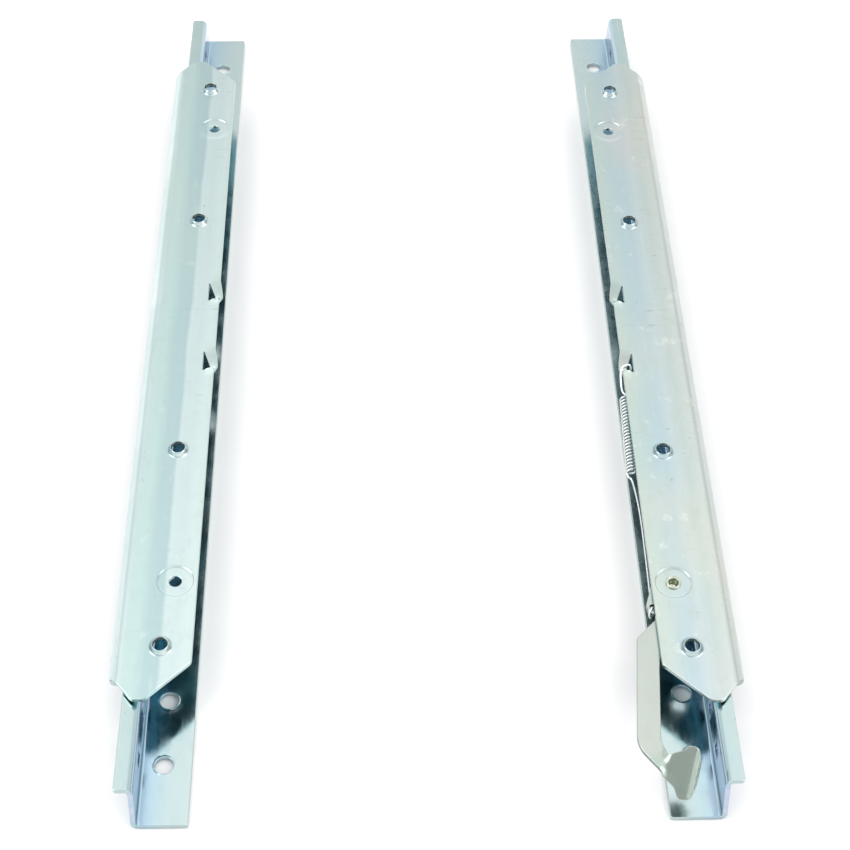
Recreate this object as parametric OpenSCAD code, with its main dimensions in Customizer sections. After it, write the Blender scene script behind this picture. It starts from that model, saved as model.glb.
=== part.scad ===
// Seat slide rail set: two fixed lower rails, two sliding upper rails, and a
// spring-loaded lock lever on the right-hand slide.
// X runs across the seat, Y along the rails, Z up. The floor is z = 0.

/* [Lower rails] */
// Length of each lower rail
lower_len = 600; // [500:10:700]
// Width of the floor flange
base_w = 26.6; // [25:0.2:30]
// Height of the lower rail's top flange
flange_h = 24.5; // [24:0.1:25]
// How far the top flange reaches outboard of the web
flange_reach = 6.5; // [6:0.1:6.5]
// Setback of the top flange at each end
flange_setback = 6.5; // [3:0.5:10]
// Distance of the outer floor bolt holes from the middle
floor_hole_outer = 268; // [240:1:280]
// Distance of the inner floor bolt holes from the middle
floor_hole_inner = 232; // [200:1:236]
// Diameter of the floor bolt holes
floor_hole_d = 9; // [8.4:0.1:11]
// Distance of the floor bolt holes from the web's outer face
floor_hole_x = 13.2; // [12:0.1:15]

/* [Lock windows] */
// Spacing of the lock windows
window_pitch = 22.5; // [22.5:0.5:22.5]
// Number of lock windows in each web, always odd
window_count = 25; // [21:2:25]
// Width and height of a lock window
window_size = 7.5; // [7:0.1:8]
// Height of the windows' middle
window_z = 11.8; // [11.5:0.1:12]

/* [Upper rails] */
// Length of each upper rail
upper_len = 490; // [470:5:520]
// Height of the upper rail's top face
upper_h = 29; // [28.8:0.1:29.5]
// Where the left upper rail's middle stands along its lower rail, as drawn
rest_shift_left = -2.5; // [-8:0.5:0]
// Where the right upper rail's middle stands along its lower rail, as drawn
rest_shift_right = -7.5; // [-8:0.5:0]
// How far the inboard edge stands from the lower web's outer face
upper_in = 25.9; // [25:0.1:27]
// How far the outboard wall stands out from the lower web's outer face
upper_out = 13.9; // [13.6:0.1:14.5]
// Distance of the outer tapped holes from the middle
tap_outer = 215; // [205:1:218]
// Distance of the inner tapped holes from the middle
tap_inner = 90; // [80:1:92]
// Tap drill diameter of the tapped holes
tap_d = 6.8; // [6:0.1:8]
// Distance of the tapped holes from the lower web's outer face
tap_x = 10.4; // [9:0.1:12]
// Height of the raised bosses round the tapped holes
boss_rise = 2.6; // [1:0.1:2.8]
// Distance of the coined pads from the middle
pad_y = 176; // [170:1:180]
// Distance of the coined pads from the lower web's outer face
pad_x = 14.8; // [13.6:0.1:15.4]
// Diameter of the coined pads
pad_d = 18.6; // [17:0.1:20]
// Diameter of the hole in each pad
pad_hole_d = 6.4; // [6:0.1:6.6]

/* [Lock lever] */
// Angle of the lever's arm to the rail
arm_angle = 6; // [5:0.5:7]
// Width of the lever's arm
arm_w = 10.4; // [9:0.1:11]
// Twist of the thumb paddle about its neck
paddle_twist = 30; // [20:1:35]
// Length of the thumb paddle
paddle_len = 16.8; // [14:0.2:18]
// Width of the thumb paddle at its outer edge
paddle_w = 25; // [20:1:26]

/* [Layout] */
// Distance between the outer faces of the two webs
track = 280; // [240:1:420]
// Thickness of the rails' sheet steel
steel_t = 2.5; // [2.4:0.1:2.5]

/* [Hidden] */
$fn = 48;
zinc = "#c9d2d0";
dull_zinc = "#b4b7a4";
acetal = "#e9e6da";
yellow_zinc = "#d9c06a";
spring_steel = "#9aa0a2";

left = -1;
right = 1;
eps = 0.01;
half_lower = lower_len / 2;
half_upper = upper_len / 2;
through = 3 * steel_t;

// Bends: inside radii of the pressed sections
lower_bend = 1.2;
upper_bend = 3.5;
lip_bend = 1;

// Channel that wraps the lower rail's flange
plate_under = upper_h - steel_t;
flange_under = flange_h - steel_t;
lip_gap = 1.9;
lip_top = flange_under - lip_gap;
lip_bottom = lip_top - steel_t;
lip_edge = -3;
wall_inner = -(upper_out - steel_t);

// Plan outline of the upper rail's ends
end_tip_in = 4.5;
end_tip_out = -1.5;
end_out_setback = 17;
end_in_setback = 21;

// Lanced eyes on the inboard edge: distance of each eye's wide end from the middle
eye_wide_ends = [25.5, -29];
eye_len = 15;
eye_tail = 3.5;
eye_bulge = 1.6;
eye_rise = 0.8;
eye_slit_x = 19.9;
eye_slit_w = 4.2;

// Glide strips and travel stops: each strip's inner end meets the stop rivet at a travel limit
travel = 3 * window_pitch;
stop_head_d = 6;
glide_gap = 0.3;
stop_reach = travel + stop_head_d / 2 + glide_gap;
glide_len = 138;
glide_fit = 0.1;
glide_peg_d = 3.9;
glide_peg_hole_d = 4;
glide_peg_z = 22.3;
glide_pegs = [100, 182];
stop_x = -4.2;
stop_head_t = 1.5;
stop_tail_d = 4.4;
stop_tail_t = 1.1;
stop_shank_d = 3.2;

// Lever stack under the near pad of the right-hand slide
lever_t = 2.5;
lever_top = 25.5;
lever_z = lever_top - lever_t;
stack_gap = 0.15;
pivot_y = -pad_y;
pivot_eye_r = 9.5;
bush_d = 8;
bush_bore_d = 6.5;
lever_bore_d = 8.1;
washer_bore_d = 8.1;
washer_d = 16;
retainer_d = 15;
retainer_t = 1.5;
rivet_d = 6.2;
rivet_bore_d = 4.5;
rivet_bore_depth = 4.8;
rivet_rim_d = 8.4;
rivet_rim_t = 0.5;
rivet_tail_d = 9;
rivet_tail_t = 0.9;
pad_depth = 0.3;

// Tooth: it stands in the window five pitches nearer than the lower rail's middle
tooth_y = -5 * window_pitch - rest_shift_right;
tooth_w = 5;
tooth_tip_x = -1.8;
tooth_z = 10.5;
leg_x = 6.2;
leg_w = 17;
leg_foot_z = 10.5;

// Spring ear and return spring
ear_x = 25.4;
ear_y = -188.2;
ear_r = 4;
ear_hole_d = 4.4;
wire_d = 1.2;
knuckle = 0.16;
coil_d = 6;
coil_z = 22.8;
coil_far_x = 24.3;
coil_near_x = 26.1;
coil_far_y = -46.5;
coil_near_y = -99.5;
near_wire_z = 22;
near_hook = [25, -188.6];

// Lever arm: the middle line of its far end, then down to the near end
arm_far = [30.2, -207];
arm_turn = [29.5, -264.8];
arm_turn_r = 12;
neck = [30.8, -277];
neck_w = 10;
paddle_yaw = 17;

// ---- Placing: x is measured inboard from the outer face of the lower web ----

function rest_shift(side) = side == right ? rest_shift_right : rest_shift_left;

module on_side(side) {
    translate([side * track / 2, 0, 0])
        mirror([side == right ? 1 : 0, 0, 0])
            children();
}

// The same, for what slides: y is measured from the upper rail's middle
module on_slider(side) {
    translate([0, rest_shift(side), 0])
        on_side(side)
            children();
}

// Extrudes an x-z section along Y, from y0 to y1
module along(y0, y1) {
    translate([0, y1, 0])
        rotate([90, 0, 0])
            linear_extrude(y1 - y0)
                children();
}

// An upright prism of plan outline between two heights
module slab(z0, z1) {
    translate([0, 0, z0])
        linear_extrude(z1 - z0)
            children();
}

module drill(x, y, d, z0, z1) {
    translate([x, y, z0])
        cylinder(d = d, h = z1 - z0);
}

// Quarter of a ring in the first quadrant: one bend of the sheet
module bend(r_in, t) {
    intersection() {
        difference() {
            circle(r = r_in + t);
            circle(r = r_in);
        }
        square(r_in + t);
    }
}

module box_2d(x0, x1, z0, z1) {
    translate([x0, z0])
        square([x1 - x0, z1 - z0]);
}

// ---- Lower rail ----

module lower_section() {
    outer = lower_bend + steel_t;
    bend_top = flange_h - outer;
    box_2d(outer, base_w, 0, steel_t);
    translate([outer, outer])
        rotate(180)
            bend(lower_bend, steel_t);
    box_2d(0, steel_t, outer, bend_top);
    translate([-lower_bend, bend_top])
        bend(lower_bend, steel_t);
    box_2d(-flange_reach, -lower_bend, flange_under, flange_h);
}

// Wedge that slants the web's end edge, beyond the far end of the rail
module end_slant() {
    translate([-flange_reach - 1, half_lower, 0])
        rotate([90, 0, 90])
            linear_extrude(flange_reach + steel_t + 1 + eps)
                polygon([[eps, steel_t + 1], [-flange_setback, flange_h - steel_t],
                         [-flange_setback, flange_h + 1], [eps, flange_h + 1]]);
}

module lower_rail(side) {
    first = -(window_count - 1) / 2;
    color(zinc)
        on_side(side)
            difference() {
                along(-half_lower, half_lower)
                    lower_section();
                for (end = [0, 1])
                    mirror([0, end, 0])
                        end_slant();
                for (y = [-floor_hole_outer, -floor_hole_inner, floor_hole_inner, floor_hole_outer])
                    drill(floor_hole_x, y, floor_hole_d, -1, steel_t + 1);
                for (i = [0 : window_count - 1])
                    translate([steel_t / 2, (first + i) * window_pitch, window_z])
                        cube([through, window_size, window_size], center = true);
                drill(stop_x, 0, stop_shank_d, flange_under - 1, flange_h + 1);
            }
}

module stop_rivet(side) {
    color(zinc)
        on_side(side)
            translate([stop_x, 0, 0]) {
                translate([0, 0, flange_h])
                    cylinder(d1 = stop_head_d, d2 = stop_head_d - 1, h = stop_head_t);
                translate([0, 0, flange_under - eps])
                    cylinder(d = stop_shank_d - 2 * glide_fit, h = steel_t + 2 * eps);
                translate([0, 0, flange_under - stop_tail_t])
                    cylinder(d = stop_tail_d, h = stop_tail_t);
            }
}

// ---- Upper rail ----

module upper_section() {
    top_r = upper_bend + steel_t;
    lip_r = lip_bend + steel_t;
    box_2d(top_r - upper_out, upper_in, plate_under, upper_h);
    translate([top_r - upper_out, upper_h - top_r])
        rotate(90)
            bend(upper_bend, steel_t);
    box_2d(-upper_out, wall_inner, lip_bottom + lip_r, upper_h - top_r);
    translate([lip_r - upper_out, lip_bottom + lip_r])
        rotate(180)
            bend(lip_bend, steel_t);
    box_2d(lip_r - upper_out, lip_edge, lip_bottom, lip_top);
}

module upper_outline() {
    polygon([[-upper_out - 1, -half_upper + end_out_setback], [end_tip_out, -half_upper],
             [end_tip_in, -half_upper], [upper_in, -half_upper + end_in_setback],
             [upper_in + 1, -half_upper + end_in_setback], [upper_in + 1, half_upper - end_in_setback],
             [upper_in, half_upper - end_in_setback], [end_tip_in, half_upper],
             [end_tip_out, half_upper], [-upper_out - 1, half_upper - end_out_setback]]);
}

// Triangular slit of a lanced eye, wide at its near end
module eye_slit(wide) {
    slab(plate_under - 1, upper_h + boss_rise)
        polygon([[eye_slit_x, wide + eye_len - 3], [eye_slit_x, wide - 3],
                 [eye_slit_x + eye_slit_w, wide - 2]]);
}

// Strip of edge pushed inboard and a little up beside the slit
module eye_strip(wide) {
    slab(plate_under + eye_rise, upper_h + eye_rise)
        polygon([[upper_in - 1.6, wide + eye_len], [upper_in - 1, wide + eye_len],
                 [upper_in + eye_bulge, wide], [upper_in - 0.8, wide - eye_tail],
                 [upper_in - 1.6, wide - eye_tail], [upper_in - 1, wide]]);
}

module upper_rail(side) {
    color(zinc)
        on_slider(side)
            difference() {
                union() {
                    intersection() {
                        along(-half_upper, half_upper)
                            upper_section();
                        slab(0, upper_h + 1)
                            upper_outline();
                    }
                    for (y = [-tap_outer, -tap_inner, tap_inner, tap_outer])
                        translate([tap_x, y, upper_h - eps])
                            cylinder(d1 = 11.2, d2 = 9.5, h = boss_rise + eps);
                    for (wide = eye_wide_ends)
                        eye_strip(wide);
                }
                for (y = [-tap_outer, -tap_inner, tap_inner, tap_outer])
                    drill(tap_x, y, tap_d, plate_under - 1, upper_h + boss_rise + 1);
                for (y = [-pad_y, pad_y]) {
                    drill(pad_x, y, pad_hole_d, plate_under - 1, upper_h + 1);
                    drill(pad_x, y, pad_d, upper_h - pad_depth, upper_h + 1);
                }
                for (wide = eye_wide_ends)
                    eye_slit(wide);
                for (end = [-1, 1], y = glide_pegs)
                    translate([-upper_out - 1, end * y, glide_peg_z])
                        rotate([0, 90, 0])
                            cylinder(d = glide_peg_hole_d, h = steel_t + 2);
            }
}

// ---- Glide strips: plastic channels fixed inside the upper rail ----

module glide_section() {
    back = wall_inner + glide_fit;
    top = plate_under - glide_fit;
    bottom = lip_top + glide_fit;
    slot_back = -flange_reach - glide_gap;
    slot_top = flange_h + glide_gap;
    slot_bottom = flange_under - glide_gap;
    polygon([[-1.2, top], [back + upper_bend - 0.1, top], [back + 1, top - 1],
             [back, top - upper_bend + 0.1], [back, bottom + 0.9],
             [back + 0.9, bottom], [lip_edge, bottom], [lip_edge, slot_bottom],
             [slot_back, slot_bottom], [slot_back, slot_top], [-1.2, slot_top]]);
}

module glide(side, end) {
    inner = end * stop_reach - rest_shift(side);
    y0 = end < 0 ? inner - glide_len : inner;
    color(acetal)
        on_slider(side) {
            along(y0, y0 + glide_len)
                glide_section();
            for (y = glide_pegs)
                translate([-upper_out + 0.3, end * y, glide_peg_z])
                    rotate([0, 90, 0])
                        cylinder(d = glide_peg_d, h = steel_t + 1);
        }
}

// ---- Lock lever ----

function arm_x(y) = arm_far[0] + (arm_far[1] - y) * tan(arm_angle);
function polar(c, r, a) = [c[0] + r * cos(a), c[1] + r * sin(a)];

// Flat blank of the lever: pivot eye, spring ear, tooth strip and arm
module lever_blank() {
    half = arm_w / 2;
    translate([pad_x, pivot_y])
        circle(r = pivot_eye_r);
    translate([ear_x, ear_y])
        circle(r = ear_r);
    polygon(concat(
        [[pad_x - 7.5, pivot_y - 5], [leg_x + 1, tooth_y - leg_w / 2], [leg_x + 1, tooth_y + leg_w / 2],
         [leg_x + 8, tooth_y + leg_w / 2], [pad_x + 8.7, pivot_y + 8], [ear_x + 3.9, ear_y + 1],
         [ear_x, ear_y - 2], [ear_x - 3.8, ear_y - 0.5], [21.5, -192], [25.2, -195.4],
         [arm_x(-207) + half, -207]],
        [for (a = [arm_angle : -9 : -40]) polar(arm_turn, arm_turn_r, a)],
        [[neck[0] + 1, neck[1] - neck_w / 2], [neck[0], neck[1] - neck_w / 2],
         [neck[0], neck[1] + neck_w / 2 - 1], [neck[0] - 0.8, -262], [arm_x(-225) - half, -225],
         [arm_x(-207) - half - 2, -200], [pad_x + 2, pivot_y - 9]]));
}

// Fishtail paddle in its own plane: it grows from the neck along +X
module paddle_outline() {
    half = paddle_w / 2;
    side = [[-1.5, neck_w / 2], [1.5, neck_w / 2], [5, half * 0.64], [8, half * 0.93],
            [paddle_len - 5, half], [paddle_len - 2.6, half - 1], [paddle_len - 1.2, half - 3.5],
            [paddle_len - 0.4, half - 7]];
    polygon(concat(side, [[paddle_len, 0]],
                   [for (i = [len(side) - 1 : -1 : 0]) [side[i][0], -side[i][1]]]));
}

module lock_lever() {
    mid_z = lever_z + lever_t / 2;
    color(dull_zinc)
        on_slider(right)
            difference() {
                union() {
                    slab(lever_z, lever_top)
                        lever_blank();
                    translate([leg_x, tooth_y - leg_w / 2, leg_foot_z])
                        cube([lever_t, leg_w, lever_top - leg_foot_z]);
                    translate([tooth_tip_x, tooth_y - tooth_w / 2, tooth_z])
                        cube([leg_x + lever_t - tooth_tip_x, tooth_w, lever_t]);
                    translate([neck[0], neck[1], mid_z])
                        rotate([0, 0, 180 + paddle_yaw])
                            rotate([-paddle_twist, 0, 0])
                                translate([0, 0, -lever_t / 2])
                                    linear_extrude(lever_t)
                                        paddle_outline();
                }
                drill(pad_x, pivot_y, lever_bore_d, lever_z - 1, lever_top + 1);
                drill(ear_x, ear_y, ear_hole_d, lever_z - 1, lever_top + 1);
            }
}

// ---- Pivot hardware ----

module at_pivot() {
    on_slider(right)
        translate([pad_x, pivot_y, 0])
            children();
}

module tube(d, bore, z0, z1) {
    translate([0, 0, z0])
        difference() {
            cylinder(d = d, h = z1 - z0);
            translate([0, 0, -1])
                cylinder(d = bore, h = z1 - z0 + 2);
        }
}

// Semi-tubular rivet: solid head below, rolled rim and blind bore above
module pivot_rivet() {
    rim_z = upper_h - pad_depth;
    head_z = lever_z - stack_gap - retainer_t - rivet_tail_t;
    rim_top = rim_z + rivet_rim_t;
    color(yellow_zinc)
        at_pivot()
            difference() {
                union() {
                    translate([0, 0, head_z])
                        cylinder(d = rivet_d, h = rim_top - head_z);
                    translate([0, 0, rim_z])
                        cylinder(d1 = rivet_rim_d, d2 = rivet_rim_d - 0.8, h = rivet_rim_t);
                    translate([0, 0, head_z])
                        cylinder(d = rivet_tail_d, h = rivet_tail_t);
                }
                translate([0, 0, rim_top - rivet_bore_depth])
                    cylinder(d = rivet_bore_d, h = rivet_bore_depth + 1);
            }
}

module pivot_bush() {
    color(spring_steel)
        at_pivot()
            tube(bush_d, bush_bore_d, lever_z - stack_gap, plate_under);
}

module pivot_washer() {
    color(acetal)
        at_pivot()
            tube(washer_d, washer_bore_d, lever_top + stack_gap, plate_under);
}

module retaining_washer() {
    color(zinc)
        at_pivot()
            tube(retainer_d, bush_bore_d, lever_z - stack_gap - retainer_t, lever_z - stack_gap);
}

// ---- Return spring ----

// One straight length of wire with a round knuckle at its far end
module wire(a, b) {
    run = b - a;
    len = norm(run);
    translate(a)
        rotate([0, acos(run[2] / len), atan2(run[1], run[0])])
            cylinder(d = wire_d, h = len, $fn = 24);
    translate(b)
        sphere(d = wire_d + knuckle, $fn = 24);
}

module wire_run(points) {
    for (i = [1 : len(points) - 1])
        wire(points[i - 1], points[i]);
}

module return_spring() {
    far_end = [coil_far_x, coil_far_y, coil_z];
    near_end = [coil_near_x, coil_near_y, coil_z];
    coil_r = (coil_d - wire_d) / 2;
    coil_len = norm(far_end - near_end);
    lean = atan2(coil_near_x - coil_far_x, coil_far_y - coil_near_y);
    color(spring_steel)
        on_slider(right) {
            translate(near_end)
                rotate([-90, 0, lean])
                    difference() {
                        cylinder(d = coil_d, h = coil_len);
                        translate([0, 0, -1])
                            cylinder(d = coil_d - 2 * wire_d, h = coil_len + 2);
                    }
            wire_run([far_end + [-coil_r, -0.4, 0], [23.8, -45.2, 23.6], [27.3, -40.4, 25.5], [27.6, -32.6, 29.4],
                      [25.8, -29.2, 31], [22.4, -28.6, 31], [21.4, -29.4, 27]]);
            wire_run([near_end + [0, 0.4, -coil_r], [coil_near_x - 1.2, -130, near_wire_z],
                      [near_hook[0], near_hook[1], near_wire_z],
                      [near_hook[0], near_hook[1], lever_top + 0.1]]);
        }
}

lower_rail(left);  // lower_rail_left
lower_rail(right);  // lower_rail_right
upper_rail(left);  // upper_rail_left
upper_rail(right);  // upper_rail_right
glide(left, -1);  // front_glide_left
glide(left, 1);  // rear_glide_left
glide(right, -1);  // front_glide_right
glide(right, 1);  // rear_glide_right
stop_rivet(left);  // stop_rivet_left
stop_rivet(right);  // stop_rivet_right
lock_lever();
pivot_rivet();
pivot_bush();
pivot_washer();
retaining_washer();
return_spring();
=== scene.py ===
import math

import bmesh
import bpy
import numpy as np
from mathutils import Matrix, Vector
from mathutils.geometry import delaunay_2d_cdt


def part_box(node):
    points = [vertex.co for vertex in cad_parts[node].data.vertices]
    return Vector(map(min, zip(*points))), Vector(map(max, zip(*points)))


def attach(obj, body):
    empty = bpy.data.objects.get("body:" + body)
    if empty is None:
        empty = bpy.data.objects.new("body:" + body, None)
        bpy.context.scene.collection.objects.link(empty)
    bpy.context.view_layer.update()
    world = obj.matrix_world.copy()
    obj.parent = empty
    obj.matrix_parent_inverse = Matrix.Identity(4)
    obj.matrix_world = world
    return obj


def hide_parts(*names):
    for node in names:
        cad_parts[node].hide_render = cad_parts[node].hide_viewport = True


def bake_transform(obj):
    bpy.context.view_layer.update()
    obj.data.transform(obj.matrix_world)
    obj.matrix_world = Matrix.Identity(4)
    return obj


# Looks of the seat slide rail set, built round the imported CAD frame.
# Shapes are written in millimetres in a rail's own frame: x runs inboard from the outer face of the
# lower web, y along the rail from its middle, z up. to_row() turns them into the row frame in metres.

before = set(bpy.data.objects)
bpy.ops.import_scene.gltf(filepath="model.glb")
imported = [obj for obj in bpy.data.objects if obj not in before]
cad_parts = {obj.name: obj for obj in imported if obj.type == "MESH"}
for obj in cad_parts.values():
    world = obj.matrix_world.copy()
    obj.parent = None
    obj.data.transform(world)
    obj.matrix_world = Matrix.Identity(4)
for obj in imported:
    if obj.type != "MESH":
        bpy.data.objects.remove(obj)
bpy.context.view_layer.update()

MM = 0.001
SIDES = {"left": -1, "right": 1}


def span(node, axis):
    """Lowest and highest place of a CAD node along one axis, in millimetres."""
    low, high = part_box(node)
    return low[axis] / MM, high[axis] / MM


# ---- Sizes ----

SHEET = 2.5
EDGE_R = 0.35                # rounding of a cut edge
LOWER_HALF = span("lower_rail_left", 1)[1]
FLANGE_TOP = span("lower_rail_left", 2)[1]
FLANGE_REACH = 6.5           # of the lower rail's top flange, outboard of its web
HALF_TRACK = span("lower_rail_right", 0)[1] - FLANGE_REACH
BASE_W = 26.6                # from the web's outer face to the floor flange's inboard edge
FLOOR_HOLES = (-268, -232, 232, 268)
FLOOR_HOLE_X = 13.2
FLOOR_HOLE_R = 4.5
FLOOR_HOLE_S = BASE_W - FLOOR_HOLE_X
WINDOW_PITCH = 22.5
WINDOW_COUNT = 25
WINDOW_SIZE = 7.5
WINDOW_Z = 11.8
STOP_X = -4.2                # the stop rivet in the top flange
STOP_HOLE_R = 1.6
BURR = 0.22                  # height of the rolled edge round a floor hole

UPPER_HALF = (span("upper_rail_left", 1)[1] - span("upper_rail_left", 1)[0]) / 2
REST_SHIFT = {s: sum(span("upper_rail_" + s, 1)) / 2 for s in SIDES}
PLATE_TOP = 29.0
PLATE_UNDER = PLATE_TOP - SHEET
UPPER_IN = 25.9              # inboard edge of the plate
TAPS = (-215, -90, 90, 215)
TAP_X = 10.4
TAP_R = 3.4
TAP_S = UPPER_IN - TAP_X
TAP_CUT_R = TAP_R + 0.4      # the sheet's own hole, round the thread's sleeve
THREAD_DEPTH = 0.36
CREASE = 0.02                # fall of the plate per millimetre inboard of the taps
BOSS_RISE = 2.6
BOSS_SLOPE = (3.6, 6.0)      # radii at the top and the foot of a boss
PADS = (-176, 176)
PAD_X = 14.8
PAD_R = 9.3
PAD_S = UPPER_IN - PAD_X
PAD_DEPTH = 0.3
PAD_HOLE_R = 3.2
PAD_WAVES = ((-0.12, -0.45), (0.08, 0.35))    # height and offset of the groove and ridge at its rim
PAD_WAVE_W = 0.3
PEGS = (-182, -100, 100, 182)
PEG_R = 2.0
EYES = (25.5, -29.0)         # where each lanced eye is widest, close to its near end
EYE_LEN = 15.0
EYE_BULGE = 2.2
EYE_RISE = 1.2
SLIT_X = 19.9
SLIT_W = 4.2

LEVER_TOP = 25.5
PIVOT = (PAD_X, -176.0)
PIVOT_R = 4.05
BUSH_BORE_R = 3.25
EAR = (26.2, -188.2)
EAR_R = 1.5
TOOTH_Y = -105.0
NECK = (30.8, -277.0)
PADDLE_YAW = math.radians(17)
PADDLE_TWIST = math.radians(30)


# ---- Plane outlines ----

def rounded(corners, step=0.5):
    """A closed outline through (s, y, radius) corners, each turned on its radius."""
    points = []
    for i, (s, y, radius) in enumerate(corners):
        here = Vector((s, y))
        before = Vector(corners[i - 1][:2])
        after = Vector(corners[(i + 1) % len(corners)][:2])
        into = (here - before).normalized()
        out = (after - here).normalized()
        turn = math.atan2(into.x * out.y - into.y * out.x, into.dot(out))
        if radius <= 0 or abs(turn) < 0.02:
            points.append(tuple(here))
            continue
        reach = radius * math.tan(abs(turn) / 2)
        start = here - into * reach
        centre = start + Vector((-into.y, into.x)) * math.copysign(radius, turn)
        steps = max(2, math.ceil(abs(turn) * radius / step))
        for k in range(steps + 1):
            arm = start - centre
            arm.rotate(Matrix.Rotation(turn * k / steps, 2))
            points.append(tuple(centre + arm))
    return points


def polar(centre, radius, angle):
    """The point at an angle and a distance from a centre."""
    return centre[0] + radius * math.cos(angle), centre[1] + radius * math.sin(angle)


def circle(centre, radius, count=36):
    """A round hole's edge, clockwise, so that the sheet is on its left."""
    return [polar(centre, radius, -2 * math.pi * k / count) for k in range(count)]


def subdivided(loop, step_s, step_y):
    """The same outline with its long edges cut into short ones."""
    points = []
    for (s0, y0), (s1, y1) in zip(loop, loop[1:] + loop[:1]):
        steps = max(1, math.ceil(max(abs(s1 - s0) / step_s, abs(y1 - y0) / step_y) - 1e-6))
        points += [(s0 + (s1 - s0) * k / steps, y0 + (y1 - y0) * k / steps) for k in range(steps)]
    return points


def inset(loop, distance):
    """The outline moved to its left by a distance."""
    here = np.array(loop, float)
    into = here - np.roll(here, 1, axis=0)
    into /= np.linalg.norm(into, axis=1)[:, None]
    out = np.roll(into, -1, axis=0)
    normal = np.stack([-(into + out)[:, 1], (into + out)[:, 0]], axis=1)
    scale = 2 / np.maximum((normal ** 2).sum(axis=1), 0.8)
    return here + normal * scale[:, None] * distance


def inside(points, loops):
    """Which points lie in the sheet: in the outer outline and in none of the holes."""
    px, py = points[:, 0], points[:, 1]
    hit = np.zeros(len(points), bool)
    for loop in loops:
        for (x0, y0), (x1, y1) in zip(loop, loop[1:] + loop[:1]):
            if y0 != y1:
                level = (y0 > py) != (y1 > py)
                hit ^= level & (px < (x1 - x0) * (py - y0) / (y1 - y0) + x0)
    return hit


def clear_of(points, loops, gap):
    """The points that are farther than gap from every outline's edge."""
    keep = np.ones(len(points), bool)
    for loop in loops:
        for a, b in zip(loop, loop[1:] + loop[:1]):
            a, run = np.array(a), np.array(b) - np.array(a)
            t = np.clip(((points - a) @ run) / max(run @ run, 1e-9), 0, 1)
            keep &= np.linalg.norm(points - a - t[:, None] * run, axis=1) > gap
    return points[keep]


def smooth(value, low, high):
    """0 below low, 1 above high, and a smooth rise between."""
    t = np.clip((value - low) / (high - low), 0, 1)
    return t * t * (3 - 2 * t)


# ---- Sheet metal ----

class Section:
    """The middle line of a bent sheet: lengths along it and the angle that each one turns."""

    def __init__(self, start, heading, runs):
        self.runs = []
        x, z = start
        s, angle = 0.0, math.radians(heading)
        for length, turn in runs:
            bend = math.radians(turn) / length
            self.runs.append((s, x, z, angle, bend))
            if bend:
                x += (math.sin(angle + bend * length) - math.sin(angle)) / bend
                z -= (math.cos(angle + bend * length) - math.cos(angle)) / bend
            else:
                x += length * math.cos(angle)
                z += length * math.sin(angle)
            s += length
            angle += bend * length
        self.length = s

    def place(self, s, height):
        """x and z of the points at s along the line and at a height off its outer side."""
        x, z = np.zeros_like(s), np.zeros_like(s)
        for i, (s0, x0, z0, a0, bend) in enumerate(self.runs):
            last = i == len(self.runs) - 1
            on = (s >= s0 if i else s > -1e9) & (s < (1e9 if last else self.runs[i + 1][0]))
            u = s[on] - s0
            angle = a0 + bend * u
            if bend:
                x[on] = x0 + (np.sin(angle) - math.sin(a0)) / bend
                z[on] = z0 - (np.cos(angle) - math.cos(a0)) / bend
            else:
                x[on] = x0 + u * math.cos(a0)
                z[on] = z0 + u * math.sin(a0)
            x[on] += height[on] * np.sin(angle)
            z[on] -= height[on] * np.cos(angle)
        return x, z


# How far a cut edge's points stand in from the outline and down from the face, as parts of EDGE_R
EDGE_ROUNDING = ((0.0, 1.0), (0.134, 0.5), (0.5, 0.134), (1.0, 0.0))


def sheet(outer, holes, place, columns, rows, rings=(), bare=(), gap=0.9, thickness=SHEET):
    """Points and faces of a closed sheet with rounded cut edges, from flat outlines.
    place(points, height, top) puts flat points in the rail's frame. Rings are extra points, as
    round a boss, and the plain grid stays out of the bare circles (centre, radius)."""
    loops = [outer] + holes
    points, drops, edges, rims = [], [], [], []
    for loop in loops:
        for part, drop in EDGE_ROUNDING:
            first, count = len(points), len(loop)
            points += [tuple(p) for p in inset(loop, part * EDGE_R)]
            drops += [drop * EDGE_R] * count
            edges += [(first + k, first + (k + 1) % count) for k in range(count)]
            if part == 0:
                rims.append((first, count))
    for ring in rings:
        points += [tuple(p) for p in ring]
    grid = np.array([(s, y) for s in columns for y in rows], float)
    grid = grid[inside(grid, loops)]
    for centre, radius in bare:
        grid = grid[np.linalg.norm(grid - np.array(centre), axis=1) > radius]
    points += [tuple(p) for p in clear_of(grid, loops, gap)]
    drops += [0.0] * (len(points) - len(drops))

    flat = [Vector(p) for p in points]
    found, _, triangles, origin, _, _ = delaunay_2d_cdt(flat, edges, [], 0, 1e-5)
    found = np.array([tuple(v) for v in found])
    drop = np.array([max([drops[k] for k in o], default=0.0) for o in origin])
    index = {k: i for i, o in enumerate(origin) for k in o}
    triangles = np.array(triangles)
    triangles = triangles[inside(found[triangles].mean(axis=1), loops)]

    height = thickness / 2 - drop
    upper = place(found, height, True)
    lower = place(found, -height, False)
    n = len(found)
    faces = [tuple(t) for t in triangles] + [tuple(n + t[::-1]) for t in triangles]
    for first, count in rims:
        ring = [index[first + k] for k in range(count)]
        faces += [(a, n + a, n + b, b) for a, b in zip(ring, ring[1:] + ring[:1])]
    return np.vstack([upper, lower]), faces


def merged(*solids):
    """Several (points, faces) as one."""
    points, faces = [], []
    for p, f in solids:
        start = sum(len(q) for q in points)
        points.append(np.array(p))
        faces += [tuple(int(i) + start for i in face) for face in f]
    return np.vstack(points), faces


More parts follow.
